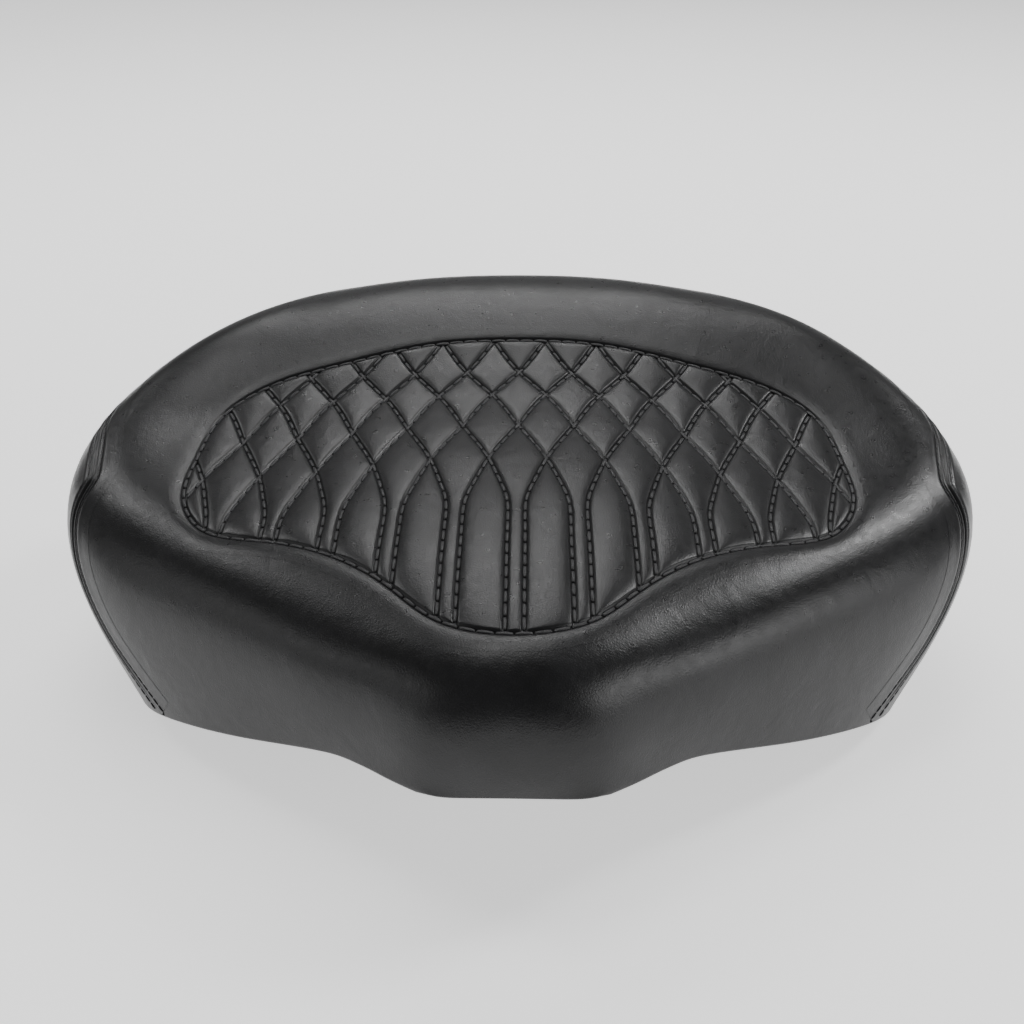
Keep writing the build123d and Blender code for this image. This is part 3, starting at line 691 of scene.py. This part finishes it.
def on_inlay(x, y):
    """Points and normals of the quilted surface over (x, y)."""
    s, w = locate(x, y)
    up = normals(s, w)
    return raised(s, w, relief(x, y, inside_by(x, y)) + LIFT), up


def lattice_rows():
    """Both families of lattice lines, cut where they leave the inlay."""
    rows = []
    y = np.arange(TIP_Y, TOP_Y, LINE_STEP)
    for side in (-1, 1):
        for k in range(-LINES, LINES + 1):
            x = k * PITCH + side * line_offset(y)
            kept = np.flatnonzero(inside_by(x, y) > THREAD_END)
            for run in np.split(kept, np.flatnonzero(np.diff(kept) > 1) + 1):
                if len(run) * LINE_STEP > STITCH / 2:
                    rows.append(on_inlay(x[run], y[run]))
    return rows


def outline_row():
    """The row of stitches round the inlay."""
    loop = np.vstack([OUTLINE, OUTLINE[:1]])
    return [on_inlay(loop[:, 0], loop[:, 1])]


def seam_rows(mirror):
    """Topstitching over and under the side seam."""
    rows = []
    for offset in (SEAM_ROW, -SEAM_ROW):
        s, w = seam_strip([offset])[0].T
        kept = (w > 0.002) & (w < 0.999)
        s, w = s[kept], mirror * w[kept]
        rows.append((beside_seam(s, w, offset), normals(s, w)))
    return rows


def back_rows():
    """Topstitching on both sides of the upright seam at the middle of the back."""
    low = SEAM_LINE[-1, 0] + 0.003
    s = np.linspace(low, 0.9985, 120)
    rows = []
    for side in (-1, 1):
        w = np.full_like(s, side * 0.02)
        for _ in range(20):
            w += side * np.clip((SEAM_ROW - np.abs(skin(s, w)[:, 0])) / 200, -0.01, 0.01)
        rows.append((raised(s, w, seam_relief(SEAM_ROW) + LIFT), normals(s, w)))
    return rows


# ---------------------------------------------------------------- foam
EDGE_LIFT = 4.8             # foam over the hem at the pan edge
PAN_EDGE, PAN_WALL, ROOF = 22.0, 34.0, 32.0     # width of the pan edge, to the roof, and the roof's level
FOAM_UNDER = 3.2            # main foam under the smooth cover
QUILT_UNDER = 3.7           # scrim under the quilted panel
SCRIM, TOPPER = 2.6, 11.5   # thicknesses of the two layers under the quilting
LAYER_GAP = 0.3             # between one layer and the next
STEP_IN = 5.0               # the cushion steps down under the inlay over this distance
HEM_IN = 5.0                # underside of the cushion inside the hem
ROOF_FRONT, ROOF_REAR = -146.0, 148.0       # the pan's raised middle lies between these


def main_foam():
    """Moulded cushion: its top follows the cover and its underside fits over the pan."""
    s, w = np.linspace(0.01, 0.985, 120), np.linspace(-0.985, 0.985, 111)
    s, w = np.meshgrid(s, w, indexing="ij")
    base = skin(s, w)
    deep = plan_depth(*np.moveaxis(base, -1, 0))
    sunk = QUILT_UNDER + SCRIM + TOPPER - FOAM_UNDER + 2 * LAYER_GAP
    depth = FOAM_UNDER + sunk * ease(deep / STEP_IN)
    top = base - normals(s, w) * depth[..., None]
    edge = hem_z(top[..., 1]) + EDGE_LIFT
    top[..., 2] = np.maximum(top[..., 2], edge)
    inner = hem_x(top[..., 1]) - PAN_EDGE
    room = np.minimum(top[..., 1] - ROOF_FRONT, ROOF_REAR - top[..., 1])
    room = np.minimum(inner - np.abs(top[..., 0]), room)
    under = top.copy()
    half = hem_x(top[..., 1]) - HEM_IN
    under[..., 0] = np.clip(top[..., 0], -half, half)
    under[..., 2] = edge + (ROOF - EDGE_LIFT) * ease(room / (PAN_WALL - PAN_EDGE) + 1)
    under[..., 2] = np.minimum(under[..., 2], top[..., 2])
    return closed_block("moulded_cushion", top, under)


def closed_block(name, top, under):
    """Closed block between two grids of the same size."""
    index = np.arange(top[..., 0].size).reshape(top.shape[:2])
    low = index + index.size
    rim = np.concatenate([index[:, 0], index[-1, 1:], index[::-1, -1][1:], index[0, ::-1][1:-1]])
    wall = np.stack([rim, np.roll(rim, -1), np.roll(rim, -1) + index.size, rim + index.size], -1)
    faces = np.vstack([grid_faces(index), grid_faces(low)[:, ::-1], wall])
    return mesh_object(name, np.vstack([top.reshape(-1, 3), under.reshape(-1, 3)]), faces)


def layer(name, depth, thickness, margin):
    """Closed layer of even thickness under the quilted inlay."""
    middle = np.array([0.0, -40.0])         # a point of the plan that sees the whole outline
    rim = OUTLINE[::8]
    heading = OUTLINE_DIR[::8]
    rim = rim + margin * np.column_stack([-heading[:, 1], heading[:, 0]])
    rim = np.vstack([rim, rim[:1]])
    share = np.linspace(0.02, 1, 26)
    flat = middle + (rim[:, None] - middle) * share[None, :, None]
    s, w = locate(flat[..., 0], flat[..., 1])
    up, base = normals(s, w), skin(s, w)
    grid = np.concatenate([base - up * depth, (base - up * (depth + thickness))[:, ::-1]], axis=1)
    index = np.arange(grid[..., 0].size).reshape(grid.shape[:2])
    index[-1] = index[0]
    inner = np.stack([index[:-1, -1], index[1:, -1], index[1:, 0], index[:-1, 0]], -1)
    points, faces = compact(grid.reshape(-1, 3), np.vstack([grid_faces(index), inner]))
    return mesh_object(name, points, faces)


# ---------------------------------------------------------------- materials
class Nodes:
    """Short hand for building one material's node tree."""

    def __init__(self, name, colour, roughness, metallic=0.0, specular=0.5):
        self.material = bpy.data.materials.new(name)
        self.material.use_nodes = True
        self.tree = self.material.node_tree
        self.shader = self.tree.nodes["Principled BSDF"]
        self.shader.inputs["Base Color"].default_value = (*colour, 1)
        self.shader.inputs["Roughness"].default_value = roughness
        self.shader.inputs["Metallic"].default_value = metallic
        self.shader.inputs["Specular IOR Level"].default_value = specular
        self.place = self.tree.nodes.new("ShaderNodeTexCoord").outputs["Object"]
        self.bump = None

    def noise(self, scale, detail=3.0, roughness=0.5, distortion=0.0):
        node = self.tree.nodes.new("ShaderNodeTexNoise")
        node.inputs["Scale"].default_value = scale
        node.inputs["Detail"].default_value = detail
        node.inputs["Roughness"].default_value = roughness
        node.inputs["Distortion"].default_value = distortion
        self.tree.links.new(self.place, node.inputs["Vector"])
        return node.outputs["Fac"]

    def cells(self, scale):
        node = self.tree.nodes.new("ShaderNodeTexVoronoi")
        node.feature = "DISTANCE_TO_EDGE"
        node.inputs["Scale"].default_value = scale
        self.tree.links.new(self.place, node.inputs["Vector"])
        return node.outputs["Distance"]

    def span(self, value, low, high, to_low, to_high):
        node = self.tree.nodes.new("ShaderNodeMapRange")
        for key, number in zip(("From Min", "From Max", "To Min", "To Max"), (low, high, to_low, to_high)):
            node.inputs[key].default_value = number
        self.tree.links.new(value, node.inputs["Value"])
        return node.outputs["Result"]

    def mix(self, amount, first, second):
        node = self.tree.nodes.new("ShaderNodeMix")
        node.data_type = "RGBA"
        node.inputs[6].default_value = (*first, 1)
        node.inputs[7].default_value = (*second, 1)
        self.tree.links.new(amount, node.inputs[0])
        return node.outputs[2]

    def colour(self, output):
        self.tree.links.new(output, self.shader.inputs["Base Color"])

    def rough(self, output):
        self.tree.links.new(output, self.shader.inputs["Roughness"])

    def raise_by(self, height, distance, strength=1.0):
        node = self.tree.nodes.new("ShaderNodeBump")
        node.inputs["Strength"].default_value = strength
        node.inputs["Distance"].default_value = distance
        self.tree.links.new(height, node.inputs["Height"])
        if self.bump:
            self.tree.links.new(self.bump, node.inputs["Normal"])
        self.bump = node.outputs["Normal"]
        self.tree.links.new(self.bump, self.shader.inputs["Normal"])


def grained_vinyl(name, dark, light, low, high, grain):
    """Embossed leather grain of about one millimetre, with slow changes of tone and gloss.

    low and high limit the roughness, and grain is the depth of the embossing in metres.
    """
    m = Nodes(name, dark, 0.4, specular=0.36)
    m.colour(m.mix(m.span(m.noise(45, 4), 0.35, 0.7, 0, 1), dark, light))
    m.rough(m.span(m.noise(260, 3), 0.3, 0.7, low, high))
    m.raise_by(m.span(m.cells(900), 0.0, 0.3, 0, 1), grain)
    m.raise_by(m.noise(1400, 3, 0.6), 0.000055)
    m.raise_by(m.noise(75, 3, 0.5, 0.6), 0.0004, 0.6)
    return m.material


def thread_material():
    """Thick black thread with a slight twist."""
    m = Nodes("bonded_thread", (0.017, 0.017, 0.018), 0.42, specular=0.5)
    m.colour(m.mix(m.noise(300, 2), (0.012, 0.012, 0.013), (0.028, 0.028, 0.030)))
    m.raise_by(m.noise(3800, 2, distortion=1.5), 0.00012)
    return m.material


def moulded_plastic():
    """Black pan with the fine texture of its mould."""
    m = Nodes("pan_plastic", (0.014, 0.014, 0.015), 0.5)
    m.colour(m.mix(m.noise(60, 4), (0.010, 0.010, 0.011), (0.024, 0.024, 0.025)))
    m.rough(m.span(m.noise(420, 3), 0.3, 0.7, 0.42, 0.6))
    m.raise_by(m.noise(1900, 2), 0.00008)
    m.raise_by(m.cells(1400), 0.00005)
    return m.material


def rubber():
    """Dusty black rubber of the bumpers."""
    m = Nodes("bumper_rubber", (0.012, 0.012, 0.012), 0.7, specular=0.35)
    m.colour(m.mix(m.noise(140, 5), (0.008, 0.008, 0.008), (0.030, 0.029, 0.028)))
    m.rough(m.span(m.noise(500, 3), 0.3, 0.7, 0.6, 0.82))
    m.raise_by(m.noise(1500, 4), 0.00015)
    return m.material


def powder_coat():
    """Black powder coat with a faint orange peel."""
    m = Nodes("bracket_steel", (0.016, 0.016, 0.017), 0.36, specular=0.5)
    m.colour(m.mix(m.noise(70, 4), (0.013, 0.013, 0.014), (0.026, 0.026, 0.027)))
    m.rough(m.span(m.noise(300, 3), 0.3, 0.7, 0.3, 0.45))
    m.raise_by(m.noise(900, 3, 0.6), 0.0001)
    return m.material


def plated(name, dark, light, low, high):
    """Metal between two tones and two roughnesses."""
    m = Nodes(name, light, 0.35, metallic=1.0)
    m.colour(m.mix(m.span(m.noise(180, 5, 0.6), 0.3, 0.7, 0, 1), dark, light))
    m.rough(m.span(m.noise(420, 4), 0.3, 0.7, low, high))
    m.raise_by(m.noise(2400, 3), 0.00003)
    return m.material


def foam(name, dark, light, cell):
    """Open foam or fleece; cell is the number of cells in a metre."""
    m = Nodes(name, light, 0.95, specular=0.2)
    m.colour(m.mix(m.noise(120, 4), dark, light))
    m.raise_by(m.cells(cell), 0.0006)
    return m.material


def paint(objects, material):
    """Gives every object this one material."""
    for piece in objects:
        piece.data.materials.clear()
        piece.data.materials.append(material)


# ---------------------------------------------------------------- pieces
cover = build_cover()
inlay_thread = stitched("inlay_stitching", lattice_rows() + outline_row(), STITCH, THREAD_R)
seam_thread = stitched("seam_stitching", seam_rows(1) + seam_rows(-1) + back_rows(),
                       SEAM_STITCH, SEAM_THREAD_R)
cushion = main_foam()
topper = layer("comfort_layer", depth=QUILT_UNDER + SCRIM + LAYER_GAP, thickness=TOPPER, margin=7.0)
scrim = layer("scrim_layer", depth=QUILT_UNDER, thickness=SCRIM, margin=2.0)

for piece, node, slot, fill in (
        (cover["cover_top"], "cover_top", "vinyl", 1.0),
        (cover["side_skirt_left"], "side_skirt_left", "vinyl", 1.0),
        (cover["side_skirt_right"], "side_skirt_right", "vinyl", 1.0),
        (cover["quilted_inlay"], "quilted_inlay", "vinyl_inlay", 0.9),
        (cushion, "main_foam", "moulded_foam", 1.0),
        (topper, "comfort_foam", "soft_foam", 0.9),
        (scrim, "inlay_scrim", "scrim", 0.8)):
    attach(piece, "root")
    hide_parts(node)
for piece, slot in ((inlay_thread, "vinyl_inlay"), (seam_thread, "vinyl")):
    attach(piece, "root")

for name, keys in (("vinyl_grained", ("cover_top", "side_skirt_left", "side_skirt_right")),
                   ("vinyl_quilted", ("quilted_inlay",))):
    paint([cover[key] for key in keys],
          grained_vinyl(name, dark=(0.006, 0.006, 0.0065), light=(0.011, 0.011, 0.012),
                        low=0.27, high=0.35, grain=0.00002))
paint([inlay_thread, seam_thread], thread_material())
paint([cushion], foam("moulded_foam", (0.24, 0.20, 0.13), (0.38, 0.33, 0.22), 700))
paint([topper], foam("soft_foam", (0.16, 0.16, 0.17), (0.28, 0.28, 0.30), 900))
paint([scrim], foam("scrim", (0.40, 0.39, 0.36), (0.58, 0.57, 0.54), 1500))

node = frame["nodes"]
paint([node["seat_pan"]], moulded_plastic())
paint([node[key] for key in ("bumpers_front", "bumpers_middle", "bumpers_rear")], rubber())
paint([node[key] for key in ("front_tongue", "rear_bracket")], powder_coat())
paint([node[key] for key in ("bumper_screws", "front_bolts", "rear_bolts", "bracket_washers")],
      plated("zinc_plating", (0.48, 0.47, 0.44), (0.66, 0.66, 0.64), 0.24, 0.42))
paint([node["hem_staples"]], plated("staple_wire", (0.38, 0.38, 0.38), (0.60, 0.60, 0.61), 0.2, 0.36))
paint([node["threaded_inserts"]], plated("insert_brass", (0.50, 0.34, 0.12), (0.72, 0.52, 0.22), 0.25, 0.45))


# ---------------------------------------------------------------- floor, camera and light
def metres(x, y, z):
    """A place in the datum, in millimetres, as a vector in the part's frame."""
    return Vector((x, y + AFT, z)) * MM


FLOOR_HALF, FLOOR_GAP = 6.0, 0.0005         # metres


def floor():
    """Plain pale floor just under the seat, lit from within like a light table."""
    mesh = bpy.data.meshes.new("floor")
    corners = [(-1, -1), (1, -1), (1, 1), (-1, 1)]
    mesh.from_pydata([(FLOOR_HALF * x, FLOOR_HALF * y, 0) for x, y in corners], [], [(0, 1, 2, 3)])
    ground = bpy.data.objects.new("floor", mesh)
    ground.location.z = -FLOOR_GAP
    bpy.context.scene.collection.objects.link(ground)
    m = Nodes("floor_paper", (0.86, 0.86, 0.86), 0.9, specular=0.1)
    m.colour(m.mix(m.noise(3, 2), (0.85, 0.85, 0.85), (0.88, 0.88, 0.88)))
    m.shader.inputs["Emission Color"].default_value = (1, 1, 1, 1)
    m.shader.inputs["Emission Strength"].default_value = 0.9
    paint([ground], m.material)


def camera(spot, azimuth, elevation, lens):
    """Camera at the photograph's viewpoint; angles in degrees, lens in millimetres."""
    data = bpy.data.cameras.new("camera")
    data.lens, data.sensor_width = lens, 36.0
    data.clip_start, data.clip_end = 0.01, 30.0
    view = bpy.data.objects.new("camera", data)
    a, e = radians(azimuth), radians(elevation)
    ahead = Vector((-sin(a) * cos(e), cos(a) * cos(e), -sin(e)))
    view.location = spot
    view.rotation_mode = "QUATERNION"
    view.rotation_quaternion = ahead.to_track_quat("-Z", "Y")
    bpy.context.scene.collection.objects.link(view)
    bpy.context.scene.camera = view


def softbox(name, compass, height, away, width, tall, radiance):
    """Area light facing the seat; angles in degrees, distances and sizes in metres."""
    data = bpy.data.lights.new(name, "AREA")
    data.shape, data.size, data.size_y = "RECTANGLE", width, tall
    data.energy = radiance * pi * width * tall
    lamp = bpy.data.objects.new(name, data)
    a, e = radians(compass), radians(height)
    toward = Vector((sin(a) * cos(e), cos(a) * cos(e), sin(e)))
    lamp.location = metres(0, -20, 60) + toward * away
    lamp.rotation_mode = "QUATERNION"
    lamp.rotation_quaternion = toward.to_track_quat("Z", "Y")
    bpy.context.scene.collection.objects.link(lamp)


def surroundings(strength):
    """Even white light from all round."""
    world = bpy.data.worlds.new("studio")
    world.use_nodes = True
    world.node_tree.nodes["Background"].inputs["Color"].default_value = (1, 1, 1, 1)
    world.node_tree.nodes["Background"].inputs["Strength"].default_value = strength
    bpy.context.scene.world = world


floor()
camera(metres(4, -472, 337), azimuth=0.85, elevation=30.0, lens=39.375)
# Each softbox stands where the vinyl mirrors it toward the camera. After the name come its compass angle
# from the rear, height angle, distance, width, height and radiance.
softbox("rear_strip", -4, 51, 2.5, 1.6, 0.22, 14.5)
softbox("rear_panel", 4, 22, 3.0, 3.6, 1.5, 0.2)
softbox("overhead", -20, 76, 2.2, 1.4, 0.6, 5.0)
softbox("left_rear", -62, 39, 2.2, 0.55, 0.55, 6.5)
softbox("right_rear", 66, 41, 2.2, 0.5, 0.5, 21.0)
softbox("right_front", 114, 16, 2.2, 1.1, 0.8, 4.6)
softbox("left_front", -110, 17, 2.2, 1.0, 0.7, 1.5)
surroundings(0.18)
